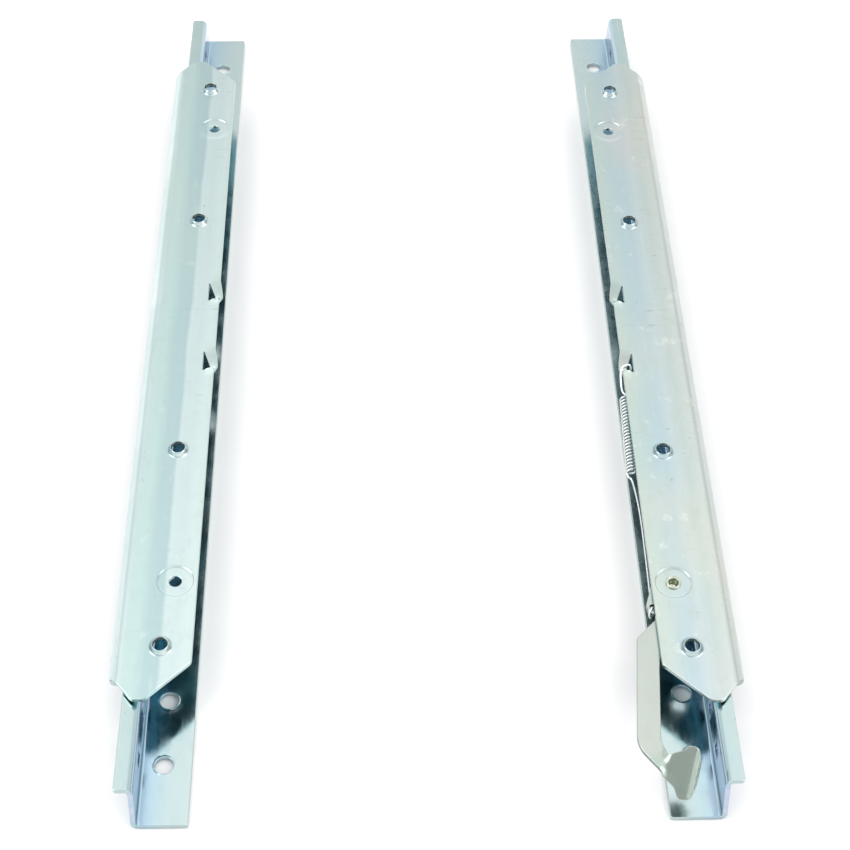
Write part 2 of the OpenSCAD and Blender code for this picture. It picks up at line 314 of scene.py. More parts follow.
def turned(profile, centre, count=48):
    """A turned solid about an upright axis from closed (radius, z) points; radius 0 is on the axis."""
    points, faces, rings = [], [], []
    for radius, z in profile:
        start = len(points)
        if radius <= 0:
            points.append((centre[0], centre[1], z))
            rings.append([start] * count)
            continue
        points += [(*polar(centre, radius, 2 * math.pi * k / count), z) for k in range(count)]
        rings.append(list(range(start, start + count)))
    closed = profile[0][0] > 0 and profile[-1][0] > 0
    pairs = list(zip(rings, rings[1:])) + ([(rings[-1], rings[0])] if closed else [])
    for a, b in pairs:
        for k in range(count):
            j = (k + 1) % count
            face = list(dict.fromkeys([a[k], a[j], b[j], b[k]]))
            if len(face) > 2:
                faces.append(tuple(face))
    return np.array(points), faces


def arc(centre, radius, start, end, count=6):
    """(radius, z) points on an arc of a profile, angles in degrees."""
    angles = [math.radians(start + (end - start) * k / count) for k in range(count + 1)]
    return [polar(centre, radius, angle) for angle in angles]


THREAD_PITCH = 1.25
THREAD_ROWS = 8              # of points in each turn of the thread
SLEEVE_WALL = 0.12


def threaded_sleeve(centre, z0, z1, minor, major, around=36):
    """The thread cut in a tapped hole, as a closed sleeve whose outside is buried in the sheet."""
    rows = max(4, math.ceil((z1 - z0) / THREAD_PITCH * THREAD_ROWS))
    turns = [2 * math.pi * k / around for k in range(around)]
    points, faces = [], []
    for i in range(rows + 1):
        z = z0 + (z1 - z0) * i / rows
        for k, turn in enumerate(turns):
            phase = (z / THREAD_PITCH - k / around) % 1.0
            depth = abs(2 * phase - 1)
            radius = minor + (major - minor) * min(1.0, max(0.0, 1.25 * depth - 0.12))
            points.append((*polar(centre, radius, turn), z))
    for z in (z0, z1):
        points += [(*polar(centre, major + SLEEVE_WALL, turn), z) for turn in turns]
    low, high = (rows + 1) * around, (rows + 2) * around
    for k in range(around):
        j = (k + 1) % around
        for i in range(rows):
            a, b = i * around, (i + 1) * around
            faces.append((a + k, b + k, b + j, a + j))
        faces.append((low + k, low + j, high + j, high + k))
        faces.append((k, j, low + j, low + k))
        faces.append((rows * around + j, rows * around + k, high + k, high + j))
    return np.array(points), faces


def spline(points, per_span=8):
    """A smooth line through the points."""
    p = [Vector(q) for q in points]
    p = [2 * p[0] - p[1]] + p + [2 * p[-1] - p[-2]]
    line = []
    for a, b, c, d in zip(p, p[1:], p[2:], p[3:]):
        for k in range(per_span):
            t = k / per_span
            line.append(0.5 * (2 * b + (c - a) * t + (2 * a - 5 * b + 4 * c - d) * t * t
                               + (3 * b - a - 3 * c + d) * t ** 3))
    return line + [p[-2]]


def tube(line, radius, sides=12):
    """A round wire along a line, with rounded ends."""
    tilts = [math.radians(degrees) for degrees in (28, 55, 80)]
    tangents = []
    for i in range(len(line)):
        tangents.append((line[min(i + 1, len(line) - 1)] - line[max(i - 1, 0)]).normalized())
    normal = tangents[0].orthogonal().normalized()
    points, faces = [], []

    def ring(centre, r, tangent):
        across = tangent.cross(normal)
        for k in range(sides):
            a = 2 * math.pi * k / sides
            points.append(tuple(centre + r * (math.cos(a) * normal + math.sin(a) * across)))

    for a in reversed(tilts):
        ring(line[0] - tangents[0] * radius * math.sin(a), radius * math.cos(a), tangents[0])
    for centre, tangent in zip(line, tangents):
        normal = (normal - tangent * normal.dot(tangent)).normalized()
        ring(centre, radius, tangent)
    for a in tilts:
        ring(line[-1] + tangents[-1] * radius * math.sin(a), radius * math.cos(a), tangents[-1])
    rings = len(points) // sides
    for i in range(rings - 1):
        for k in range(sides):
            j = (k + 1) % sides
            a, b = i * sides, (i + 1) * sides
            faces.append((a + k, a + j, b + j, b + k))
    faces.append(tuple(range(sides))[::-1])
    faces.append(tuple(range((rings - 1) * sides, rings * sides)))
    return np.array(points), faces


# ---- Blender objects ----

def to_row(points, side, slide=0.0):
    """Millimetres in a rail's frame to metres in the row frame."""
    out = np.array(points, float)
    out[:, 0] = SIDES[side] * (HALF_TRACK - out[:, 0])
    out[:, 1] += slide
    return out * MM


def piece(name, solid, side, slide, body, node, material):
    """One object from (points, faces), riding on a body, in place of a CAD node if one is named."""
    points, faces = solid
    mesh = bpy.data.meshes.new(name)
    mesh.from_pydata([tuple(p) for p in to_row(points, side, slide)], [], faces)
    shape = bmesh.new()
    shape.from_mesh(mesh)
    bmesh.ops.recalc_face_normals(shape, faces=shape.faces)
    shape.to_mesh(mesh)
    shape.free()
    mesh.polygons.foreach_set("use_smooth", [True] * len(mesh.polygons))
    mesh.materials.append(material)
    obj = bpy.data.objects.new(name, mesh)
    bpy.context.scene.collection.objects.link(obj)
    weighted = obj.modifiers.new("Face normals", "WEIGHTED_NORMAL")
    weighted.mode = "FACE_AREA"
    weighted.weight = 60
    if body:
        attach(obj, body)
    if node:
        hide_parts(node)
    return obj


# ---- Materials ----

class Nodes:
    """A short way to write a shader's node tree."""

    def __init__(self, name):
        self.material = bpy.data.materials.new(name)
        self.material.use_nodes = True
        self.tree = self.material.node_tree
        self.tree.nodes.clear()
        self.output = self.add("ShaderNodeOutputMaterial")
        self.shader = self.add("ShaderNodeBsdfPrincipled")
        self.link(self.shader.outputs["BSDF"], self.output.inputs["Surface"])
        self.coordinates = self.add("ShaderNodeTexCoord")

    def add(self, kind, **inputs):
        node = self.tree.nodes.new(kind)
        for key, value in inputs.items():
            node.inputs[key.replace("_", " ")].default_value = value
        return node

    def link(self, output, socket):
        self.tree.links.new(output, socket)

    def noise(self, scale, detail=3.0, roughness=0.5, stretch=(1, 1, 1), shift=(0, 0, 0)):
        """A noise's value over the object, with features 1/scale metres wide."""
        mapping = self.add("ShaderNodeMapping", Scale=stretch, Location=shift)
        self.link(self.coordinates.outputs["Object"], mapping.inputs["Vector"])
        texture = self.add("ShaderNodeTexNoise", Scale=scale, Detail=detail, Roughness=roughness)
        self.link(mapping.outputs["Vector"], texture.inputs["Vector"])
        return texture.outputs["Fac"]

    def ramp(self, value, stops):
        """Colours at given places from 0 to 1, evenly blended."""
        node = self.add("ShaderNodeValToRGB")
        elements = node.color_ramp.elements
        while len(elements) < len(stops):
            elements.new(0.5)
        for element, (place, colour) in zip(elements, stops):
            element.position = place
            element.color = (*colour, 1)
        self.link(value, node.inputs["Fac"])
        return node.outputs["Color"]

    def grey(self, value, low, high, at=(0.0, 1.0)):
        """The value mapped from the range at to the range low..high, and held there."""
        node = self.add("ShaderNodeMapRange")
        for socket, level in zip(("From Min", "From Max", "To Min", "To Max"), (*at, low, high)):
            node.inputs[socket].default_value = level
        self.link(value, node.inputs["Value"])
        return node.outputs["Result"]

    def place(self, axis):
        """Metres along X, Y or Z of the row frame, as at rest."""
        parts = self.add("ShaderNodeSeparateXYZ")
        self.link(self.coordinates.outputs["Object"], parts.inputs["Vector"])
        return parts.outputs[axis]

    def outboard(self, line, wobble=0.0):
        """Millimetres outboard of a line along the rail, a little uneven along its length."""
        width = self.add("ShaderNodeMath")
        width.operation = "ABSOLUTE"
        self.link(self.place("X"), width.inputs[0])
        base = (HALF_TRACK - line) * MM
        value = self.grey(width.outputs["Value"], -20, 20, at=(base - 0.02, base + 0.02))
        sway = self.grey(self.noise(18, detail=2, stretch=(0.3, 1.0, 0.3)), -wobble, wobble, at=(0.3, 0.7))
        return self.combined(value, sway)

    def height(self):
        """Height over the floor in millimetres."""
        return self.grey(self.place("Z"), 0, 30, at=(0, 0.03))

    def along(self):
        """Millimetres along the rails."""
        return self.grey(self.place("Y"), -400, 400, at=(-0.4, 0.4))

    def band(self, value, low, low_full, high_full, high):
        """One between low_full and high_full, nothing outside low and high."""
        rising = self.grey(value, 0, 1, at=(low, low_full))
        falling = self.grey(value, 1, 0, at=(high_full, high))
        return self.combined(rising, falling, "MULTIPLY")

    def bands(self, value, stops):
        """Colours at given values, smoothly joined."""
        low, high = stops[0][0], stops[-1][0]
        scaled = [((place - low) / (high - low), colour) for place, colour in stops]
        return self.ramp(self.grey(value, 0, 1, at=(low, high)), scaled)

    def mix(self, factor, first, second):
        """The first colour where the factor is 0 and the second where it is 1."""
        node = self.add("ShaderNodeMix")
        node.data_type = "RGBA"
        self.link(factor, node.inputs["Factor"])
        for name, value in (("A", first), ("B", second)):
            target = next(s for s in node.inputs if s.name == name and s.type == "RGBA")
            if hasattr(value, "links"):
                self.link(value, target)
            else:
                target.default_value = (*value, 1)
        return next(s for s in node.outputs if s.type == "RGBA")

    def tinted(self, colour, tint, amount, value, at):
        """The colour with an amount of a tint where the value rises through the range at."""
        return self.mix(self.grey(value, 0.0, amount, at=at), colour, tint)

    def combined(self, first, second, operation="ADD"):
        node = self.add("ShaderNodeMath")
        node.operation = operation
        self.link(first, node.inputs[0])
        self.link(second, node.inputs[1])
        return node.outputs["Value"]

    def bump(self, layers):
        """Stacked bumps of (height value, strength, distance in metres)."""
        normal = None
        for value, strength, distance in layers:
            node = self.add("ShaderNodeBump", Strength=strength, Distance=distance)
            self.link(value, node.inputs["Height"])
            if normal is not None:
                self.link(normal, node.inputs["Normal"])
            normal = node.outputs["Normal"]
        self.link(normal, self.shader.inputs["Normal"])


WEB_BLUE = (0.36, 0.48, 0.58)
SCRATCH = (0.62, 0.68, 0.68)
RUBBED = (0.18, 0.22, 0.21)
SCUFFED = (0.66, 0.70, 0.66)
NICK = (0.16, 0.2, 0.2)
UNDER_SHADE_FADE = (-190, -120)    # from the deeper painted shade on the near underside to the lighter one at the far end
HAZE_FADE = (-225, -175)     # from no added roughness to all of it


def zinc_plate(name, bands, line, warm, pink, roughness, seed=0.0, smudge=0.3, blotch=0.5, web=None,
               under=None, edges=None, paddle_shade=None, scuffs=1.0, haze=0.0, wear=0.0):
    """Bright zinc plating: bands along the sheet, then blotches, smudges and scratches, with painted light
    and shade.
    bands are colours at distances outboard of line, the plating's tone with painted highlight and shade on
    bends and in hollows, and warm and pink tint the blotches. web is the colour of a lower rail's web, edges
    is painted shade on the steep faces, the paddle's colour is painted shade, and under is a painted teal
    shade on a plate's underside at its near and far end. smudge, blotch, scuffs and wear are the strengths
    of those marks, and haze is the roughness added away from the near end."""
    n = Nodes(name)
    shift = (seed, seed * 0.7, seed * 0.3)
    colour = n.bands(n.outboard(line, 0.9), bands)
    clouds = n.noise(22, detail=2, stretch=(1.0, 0.35, 1.0), shift=shift)
    colour = n.tinted(colour, warm, blotch, clouds, (0.5, 0.7))
    blush = n.noise(30, detail=3, stretch=(1.0, 0.3, 1.0), shift=(seed + 3, 1, 2))
    colour = n.tinted(colour, pink, blotch, blush, (0.56, 0.74))
    if web:
        upright = n.band(n.height(), 3.0, 6.0, 20.0, 23.5)
        streaks = n.noise(40, detail=2, stretch=(1.0, 0.4, 6.0), shift=shift)
        colour = n.mix(upright, colour, n.ramp(streaks, [(0.4, web), (0.6, WEB_BLUE)]))
    # Painted shade: the underside and the inner faces below the plate's top get the teal shade colour,
    # fading along the rail.
    if under:
        inside = n.band(n.outboard(line), -30.0, -29.0, 8.5, 9.5)
        below = n.band(n.height(), -2.0, -1.0, PLATE_UNDER + 0.15, PLATE_UNDER + 0.35)
        middle = n.grey(n.along(), 0, 1, at=UNDER_SHADE_FADE)
        colour = n.mix(n.combined(inside, below, "MULTIPLY"), colour, n.mix(middle, *under))
    # Painted shade: the paddle beyond its neck is darkened for the dimmer surroundings its twisted face
    # reflects.
    if paddle_shade:
        beyond = n.grey(n.along(), 1, 0, at=(NECK[1] - 6, NECK[1]))
        colour = n.mix(beyond, colour, paddle_shade)
    # Painted shade: steep faces, such as the cut edges and the bent-down tab, are darkened as if less lit.
    if edges:
        facing = n.add("ShaderNodeSeparateXYZ")
        n.link(n.add("ShaderNodeNewGeometry").outputs["True Normal"], facing.inputs["Vector"])
        steep = n.band(n.grey(facing.outputs["Z"], -1, 1, at=(-1, 1)), -0.6, -0.4, 0.4, 0.6)
        colour = n.mix(steep, colour, edges)
    marks = n.noise(160, detail=6, roughness=0.62, stretch=(1.0, 0.5, 1.0), shift=shift)
    dull = tuple(0.8 * a for a in warm)
    colour = n.tinted(colour, dull, smudge, marks, (0.52, 0.74))
    scratches = n.noise(55, detail=8, roughness=0.75, stretch=(14.0, 0.8, 14.0), shift=(seed, 4, 4))
    colour = n.tinted(colour, SCRATCH, 0.18 * scuffs, scratches, (0.58, 0.66))
    if wear:
        rubs = n.noise(60, detail=5, roughness=0.7, stretch=(1.2, 7.0, 1.2), shift=(seed, 2, 8))
        patches = n.noise(28, detail=2, shift=(2, seed, 3))
        rubbed = n.combined(n.grey(rubs, 0, 1, at=(0.6, 0.67)), n.grey(patches, 0, wear, at=(0.48, 0.6)),
                            "MULTIPLY")
        colour = n.mix(rubbed, colour, RUBBED)
        pale = n.noise(110, detail=5, roughness=0.65, stretch=(1.0, 0.8, 1.0), shift=(5, seed, 1))
        colour = n.tinted(colour, SCUFFED, wear, pale, (0.6, 0.72))
    nicks = n.noise(420, detail=3, roughness=0.6, stretch=(1.0, 0.6, 1.0), shift=(seed, 9, 2))
    colour = n.tinted(colour, NICK, 0.6, nicks, (0.71, 0.76))
    n.link(colour, n.shader.inputs["Base Color"])
    n.shader.inputs["Metallic"].default_value = 1.0
    rough = n.grey(marks, roughness - 0.04, roughness + 0.12, at=(0.35, 0.75))
    rough = n.combined(rough, n.grey(scratches, 0.0, 0.08 * scuffs, at=(0.55, 0.7)))
    rough = n.combined(rough, n.grey(n.along(), 0.0, haze, at=HAZE_FADE))
    n.link(rough, n.shader.inputs["Roughness"])
    grain = n.noise(2600, detail=2)
    waves = n.noise(70, detail=2, stretch=(1.0, 0.4, 1.0))
    n.bump([(waves, 0.3, 0.0005), (grain, 0.12, 0.00004), (scratches, 0.1 * scuffs, 0.00008)])
    return n.material


def plain_metal(name, low, high, roughness, scale=400, grain=0.15):
    """A small metal part: two tones, light wear and a fine grain."""
    n = Nodes(name)
    tone = n.noise(scale, detail=4)
    n.link(n.ramp(tone, [(0.35, low), (0.65, high)]), n.shader.inputs["Base Color"])
    n.shader.inputs["Metallic"].default_value = 1.0
    n.link(n.grey(tone, roughness - 0.05, roughness + 0.1), n.shader.inputs["Roughness"])
    n.bump([(n.noise(2400, detail=2), grain, 0.00005)])
    return n.material


def moulded_plastic(name, low, high):
    """Pale moulded acetal with a fine matt grain and faint flow marks."""
    n = Nodes(name)
    flow = n.noise(60, detail=3, stretch=(1.0, 0.3, 1.0))
    n.link(n.ramp(flow, [(0.35, low), (0.65, high)]), n.shader.inputs["Base Color"])
    n.link(n.grey(flow, 0.32, 0.46), n.shader.inputs["Roughness"])
    n.shader.inputs["Subsurface Weight"].default_value = 0.08
    n.shader.inputs["Subsurface Scale"].default_value = 0.002
    n.bump([(n.noise(1800, detail=2), 0.12, 0.00005)])
    return n.material


# Plating tone across the left upper plate, with painted light: a darker painted-shade band just outboard of
# the crease at the taps and a bright painted highlight over the outer bend and lip.
LEFT_TONE_AND_LIGHT_BANDS = [(-17, (0.49, 0.60, 0.57)), (-12.5, (0.52, 0.62, 0.61)), (-7, (0.49, 0.59, 0.59)),
              (-1.0, (0.50, 0.60, 0.60)), (0.8, (0.375, 0.495, 0.505)), (7, (0.38, 0.505, 0.51)),
              (12, (0.43, 0.565, 0.55)), (17.5, (0.45, 0.57, 0.56)), (20.2, (0.56, 0.66, 0.66)),
              (22, (0.74, 0.82, 0.81)), (26, (0.76, 0.84, 0.83))]
# Plating tone across the right upper plate, with painted shade darkening its outer bend and lip.
RIGHT_TONE_AND_SHADE_BANDS = [(-17, (0.44, 0.52, 0.48)), (-12.5, (0.43, 0.53, 0.51)), (-5, (0.40, 0.51, 0.53)),
               (1, (0.41, 0.515, 0.54)), (6, (0.46, 0.54, 0.55)), (12, (0.45, 0.52, 0.50)),
               (18, (0.50, 0.55, 0.53)), (21, (0.45, 0.50, 0.48)), (26, (0.42, 0.46, 0.44))]
# Plating tone across a lower rail, with painted shade: darker and bluer toward the foot of the web, in the
# hollow under the upper plate.
BASE_TONE_AND_SHADE_BANDS = [(-14, (0.45, 0.54, 0.54)), (-3, (0.42, 0.52, 0.53)), (4, (0.37, 0.50, 0.56)),
              (9, (0.33, 0.47, 0.58)), (13.5, (0.39, 0.50, 0.50)), (20, (0.42, 0.52, 0.51))]
LEVER_BANDS = [(-30, (0.44, 0.48, 0.44)), (-10, (0.42, 0.46, 0.43)), (10, (0.45, 0.47, 0.40))]
# Painted shade: a deep teal on the upper plates' underside, deeper at the near end, standing in for the dark
# teal shade in the hollow under the plate.
PAINTED_UNDERSIDE_SHADE = ((0.22, 0.62, 0.72), (0.40, 0.70, 0.78))
LILAC = (0.48, 0.50, 0.62)
MATERIALS = {
    # Upper plates: their bands and their underside colour hold painted highlight and shade.
    "upper_left": zinc_plate("zinc_upper_left", LEFT_TONE_AND_LIGHT_BANDS, TAP_X, (0.48, 0.58, 0.54), (0.46, 0.54, 0.57),
                             0.16, seed=1.3, smudge=0.2, blotch=0.3, under=PAINTED_UNDERSIDE_SHADE, wear=0.2),
    "upper_right": zinc_plate("zinc_upper_right", RIGHT_TONE_AND_SHADE_BANDS, TAP_X, (0.54, 0.56, 0.48),
                              (0.55, 0.52, 0.50), 0.17, seed=7.9, blotch=0.45, under=PAINTED_UNDERSIDE_SHADE, wear=0.45),
    # The lower rails' bands carry painted shade toward the web's foot.
    "lower_left": zinc_plate("zinc_lower_left", BASE_TONE_AND_SHADE_BANDS, FLOOR_HOLE_X, (0.42, 0.54, 0.53),
                             (0.42, 0.46, 0.58), 0.13, seed=4.1, smudge=0.15, blotch=0.25, web=LILAC,
                             haze=0.03),
    "lower_right": zinc_plate("zinc_lower_right", BASE_TONE_AND_SHADE_BANDS, FLOOR_HOLE_X, (0.42, 0.54, 0.53),
                              (0.45, 0.46, 0.54), 0.135, seed=6.3, smudge=0.2, blotch=0.3, web=LILAC,
                              haze=0.12),
    # Lever: its edges colour and its paddle colour are painted shade.
    "lever": zinc_plate("zinc_lever", LEVER_BANDS, 10, (0.47, 0.51, 0.43), (0.42, 0.46, 0.45), 0.2,
                        seed=2.2, smudge=0.25, edges=(0.20, 0.23, 0.22), paddle_shade=(0.37, 0.45, 0.40),
                        scuffs=0.15),
    "rivet": plain_metal("zinc_rivet", (0.40, 0.43, 0.35), (0.55, 0.58, 0.49), 0.16),
    "small": plain_metal("zinc_small", (0.44, 0.52, 0.53), (0.54, 0.58, 0.56), 0.2),
    # Painted shade: the threads are near black for the shade inside the tapped holes, with a little oil
    # darkening as well.
    "thread": plain_metal("cut_thread_in_shade", (0.07, 0.09, 0.09), (0.15, 0.18, 0.17), 0.3, scale=700),
    "spring": plain_metal("spring_wire", (0.62, 0.66, 0.66), (0.76, 0.80, 0.79), 0.2, scale=900),
    "acetal": moulded_plastic("acetal_mould", (0.74, 0.72, 0.64), (0.82, 0.80, 0.73)),
}


# ---- Upper rails ----

UPPER_BEND_R = 4.75          # bend radii are those of the sheet's middle line
LIP_BEND_R = 2.25
UPPER_SECTION = Section((UPPER_IN, PLATE_UNDER + SHEET / 2), 180,
                        [(33.8, 0), (UPPER_BEND_R * math.pi / 2, 90), (1.9, 0),
                         (LIP_BEND_R * math.pi / 2, 90), (7.4, 0)])
UPPER_BENDS = ((33.8, 41.26), (43.16, 46.7))
PEG_S = 41.96


def grid_lines(width, bends, coarse, fine=0.85):
    """Grid lines along a section: close together round each bend."""
    stops = sorted([0.0, width] + [s for bend in bends for s in bend])
    lines = []
    for a, b in zip(stops, stops[1:]):
        step = fine if (a, b) in bends else coarse
        count = max(1, math.ceil((b - a) / step))
        lines += [a + (b - a) * k / count for k in range(count)]
    return lines + [width]


def upper_outer():
    """Flat outline of an upper rail, counter-clockwise, with its two lanced eyes."""
    end = UPPER_HALF
    near = [(0, 21 - end, 4.0), (21.4, -end, 5.0), (27.4, -end, 5.0), (33.8, 8.1 - end, 3.0),
            (37.5, 12.4 - end, 3.0), (41.3, 14.6 - end, 3.0), (54.1, 14.6 - end, 1.5)]
    far = [(s, -y, r) for s, y, r in reversed(near)]
    edge = []
    for wide in EYES:
        edge += [(0, wide + EYE_LEN, 3.0), (-EYE_BULGE * 0.75, wide + 5, 4.0), (-EYE_BULGE, wide, 1.0),
                 (-EYE_BULGE * 0.6, wide - 2.2, 1.0), (0, wide - 3.3, 0.8)]
    return subdivided(rounded(near + far + edge), 1.2, 4.0)


def eye_slit(wide):
    """Triangular opening of a lanced eye, clockwise."""
    s0 = UPPER_IN - SLIT_X
    corners = [(s0 + 0.25, wide + EYE_LEN - 3, 0.15), (s0 + 0.2, wide - 3, 0.4),
               (s0 - SLIT_W, wide - 2, 0.4)]
    return subdivided(rounded(corners, 0.25), 0.8, 0.8)


def upper_relief(points, top):
    """How far the pressed features raise the sheet over its flat height."""
    s, y = points[:, 0], points[:, 1]
    rise = np.zeros(len(points))
    for tap in TAPS:
        r = np.hypot(s - TAP_S, y - tap)
        rise += BOSS_RISE * (1 - smooth(r, *BOSS_SLOPE))
    if top:
        for pad in PADS:
            r = np.hypot(s - PAD_S, y - pad)
            rise -= PAD_DEPTH * (1 - smooth(r, PAD_R - 0.25, PAD_R + 0.05))
            for height, offset in PAD_WAVES:
                rise += height * np.exp(-((r - PAD_R - offset) / PAD_WAVE_W) ** 2)
    rise -= CREASE * np.clip(TAP_S - s, 0, None)
    for wide in EYES:
        along = smooth(-y, -wide - EYE_LEN, -wide + 1.5) * (1 - smooth(-y, -wide + 2.0, -wide + 3.3))
        rise += EYE_RISE * along * (1 - smooth(s, 3.4, 6.4))
    return rise


def upper_place(points, height, top):
    """Flat points of an upper rail, bent along its section."""
    x, z = UPPER_SECTION.place(points[:, 0], height + upper_relief(points, top))
    return np.stack([x, points[:, 1], z], axis=1)


TAP_RINGS = (4.2, 4.45, 4.7, 4.95, 5.2, 5.45, 5.7, 6.0, 6.4, 7.2)
PAD_RINGS = (4.6, 6.5, 8.1, 8.5, 8.7, 8.85, 9.0, 9.1, 9.2, 9.35, 9.5, 9.7, 9.95, 10.5)


def upper_rail():
    holes = [circle((TAP_S, y), TAP_CUT_R) for y in TAPS]
    holes += [circle((PAD_S, y), PAD_HOLE_R) for y in PADS]
    holes += [circle((PEG_S, y), PEG_R, 20) for y in PEGS]
    holes += [eye_slit(wide) for wide in EYES]
    rings = [circle((TAP_S, y), r, 40) for y in TAPS for r in TAP_RINGS]
    rings += [circle((PAD_S, y), r, 56) for y in PADS for r in PAD_RINGS]
    bare = [((TAP_S, y), 8.2) for y in TAPS] + [((PAD_S, y), 11.2) for y in PADS]
    lines = grid_lines(UPPER_SECTION.length, UPPER_BENDS, coarse=2.6)
    lines = sorted(lines + [TAP_S - 0.3, TAP_S + 0.3])
    rows = np.linspace(-UPPER_HALF, UPPER_HALF, 124)
    return sheet(upper_outer(), holes, upper_place, lines, rows, rings, bare)


def tap_threads():
    """The threads in an upper rail's four bosses."""
    low, high = PLATE_UNDER + BOSS_RISE + 0.1, PLATE_TOP + BOSS_RISE - 0.7
    major = TAP_R + THREAD_DEPTH
    return merged(*[threaded_sleeve((TAP_X, y), low, high, TAP_R, major) for y in TAPS])


# ---- Lower rails ----

LOWER_BEND_R = 2.45
LOWER_SECTION = Section((BASE_W, SHEET / 2), 180,
                        [(22.9, 0), (LOWER_BEND_R * math.pi / 2, -90), (17.1, 0),
                         (LOWER_BEND_R * math.pi / 2, 90), (5.3, 0)])
LOWER_BENDS = ((22.9, 26.75), (43.85, 47.7))
WEB_FROM_S = 26.75
WEB_FROM_Z = 3.7
WINDOW_S = WEB_FROM_S + WINDOW_Z - WEB_FROM_Z
STOP_S = 50.7
FLOOR_HOLE_RINGS = (5.1, 5.35, 5.6, 6.4)


def lower_outer():
    """Flat outline of a lower rail, counter-clockwise, from the floor flange to the top flange."""
    end = LOWER_HALF
    near = [(0, -end, 1.0), (26.7, -end + 0.1, 3.0), (43.8, -end + 6.1, 3.0), (46.8, -end + 6.5, 2.0),
            (53.0, -end + 6.5, 1.5)]
    far = [(s, -y, r) for s, y, r in reversed(near)]
    return subdivided(rounded(near + far), 1.2, 4.0)


def lower_relief(points, top):
    """A small rolled burr round each floor hole, up on the top face."""
    s, y = points[:, 0], points[:, 1]
    rise = np.zeros(len(points))
    for hole in FLOOR_HOLES:
        r = np.hypot(s - FLOOR_HOLE_S, y - hole)
        if top:
            rise += BURR * (1 - smooth(r, FLOOR_HOLE_R + 0.35, FLOOR_HOLE_R + 1.1))
    return rise


def lower_place(points, height, top):
    """Flat points of a lower rail, bent along its section."""
    x, z = LOWER_SECTION.place(points[:, 0], height + lower_relief(points, top))
    return np.stack([x, points[:, 1], z], axis=1)


def window(y):
    """A square lock window with small corner radii, clockwise."""
    h = WINDOW_SIZE / 2
    corners = [(WINDOW_S - h, y - h, 0.6), (WINDOW_S - h, y + h, 0.6), (WINDOW_S + h, y + h, 0.6),
               (WINDOW_S + h, y - h, 0.6)]
    return subdivided(rounded(corners, 0.4), 1.9, 1.9)


def lower_rail():
    holes = [circle((FLOOR_HOLE_S, y), FLOOR_HOLE_R) for y in FLOOR_HOLES]
    first = -(WINDOW_COUNT - 1) / 2
    holes += [window((first + i) * WINDOW_PITCH) for i in range(WINDOW_COUNT)]
    holes += [circle((STOP_S, 0), STOP_HOLE_R, 20)]
    rings = [circle((FLOOR_HOLE_S, y), r, 40) for y in FLOOR_HOLES for r in FLOOR_HOLE_RINGS]
    bare = [((FLOOR_HOLE_S, y), 7.4) for y in FLOOR_HOLES]
    lines = grid_lines(LOWER_SECTION.length, LOWER_BENDS, coarse=3.2)
    rows = np.linspace(-LOWER_HALF, LOWER_HALF, 135)
    return sheet(lower_outer(), holes, lower_place, lines, rows, rings, bare)


# ---- Lock lever ----

LEVER_FROM = 45              # where the blank's section starts, inboard of the whole lever
TAB_BEND_R = 2.25
LEVER_SECTION = Section((LEVER_FROM, LEVER_TOP - SHEET / 2), 180,
                        [(35.3, 0), (TAB_BEND_R * math.pi / 2, 90), (8.0, 0),
                         (TAB_BEND_R * math.pi / 2, -90), (7.0, 0)])
TAB_TIP = -12.37             # the tooth's tab in the flat blank
TAB_ROOT = -1.9
TAB_FROM_Y = -150            # the blank is bent from here on, and the paddle is nearer
ARM_SLANT = math.radians(6)
AXIS = np.array([-math.cos(PADDLE_YAW), -math.sin(PADDLE_YAW)])
ACROSS = np.array([-math.sin(PADDLE_YAW), math.cos(PADDLE_YAW)])
CURL_FROM = 13.0
CURL_R = 3.2


def arm_x(y):
    """The middle of the arm, which slants a little inboard toward the paddle."""
    return 30.2 + (-207 - y) * math.tan(ARM_SLANT)


def on_paddle(a, v, radius):
    """A corner of the paddle, a along its axis and v across it, as flat rail coordinates."""
    x, y = np.array(NECK) + a * AXIS + v * ACROSS
    return (x, y, radius)


def lever_outer():
    """Flat blank of the lever, counter-clockwise in x and y."""
    far_lobe = [(0.8, 5.4, 0.8), (7.4, 9.0, 4.0), (9.8, 11.9, 2.5), (14.0, 12.0, 2.5), (16.6, 5.0, 8.0)]
    near_lobe = [(16.6, -4.5, 8.0), (14.6, -12.8, 2.5), (9.7, -13.8, 2.5), (6.6, -8.6, 4.0),
                 (1.0, -5.3, 2.0)]
    tab = TOOTH_Y
    corners = [(TAB_TIP, tab + 2.5, 0.8), (TAB_TIP, tab - 2.5, 0.8), (TAB_ROOT, tab - 2.5, 0.6),
               (TAB_ROOT, tab - 8.5, 1.5), (9.0, tab - 8.5, 2.0), (7.0, -176, 6.0), (7.0, -184, 6.0),
               (16.8, -185.6, 1.0), (arm_x(-207) - 7.2, -200, 3.0), (arm_x(-225) - 5.2, -225, 6.0),
               (30.6, -264.0, 8.0)]
    corners += [on_paddle(a, v, r) for a, v, r in far_lobe + near_lobe]
    corners += [(32.2, -280.2, 2.0), (42.2, -266.6, 15.0), (arm_x(-207) + 5.8, -206.4, 3.0),
                (25.2, -195.4, 2.0), (21.4, -192.2, 1.0), (22.0, -190.2, 1.0), (24.2, -192.4, 1.6),
                (28.4, -192.4, 3.0), (29.5, -187.2, 3.5), (23.5, -168.4, 6.0), (15.4, tab + 8.5, 3.0),
                (TAB_ROOT, tab + 8.5, 1.5), (TAB_ROOT, tab + 2.5, 0.6)]
    return corners


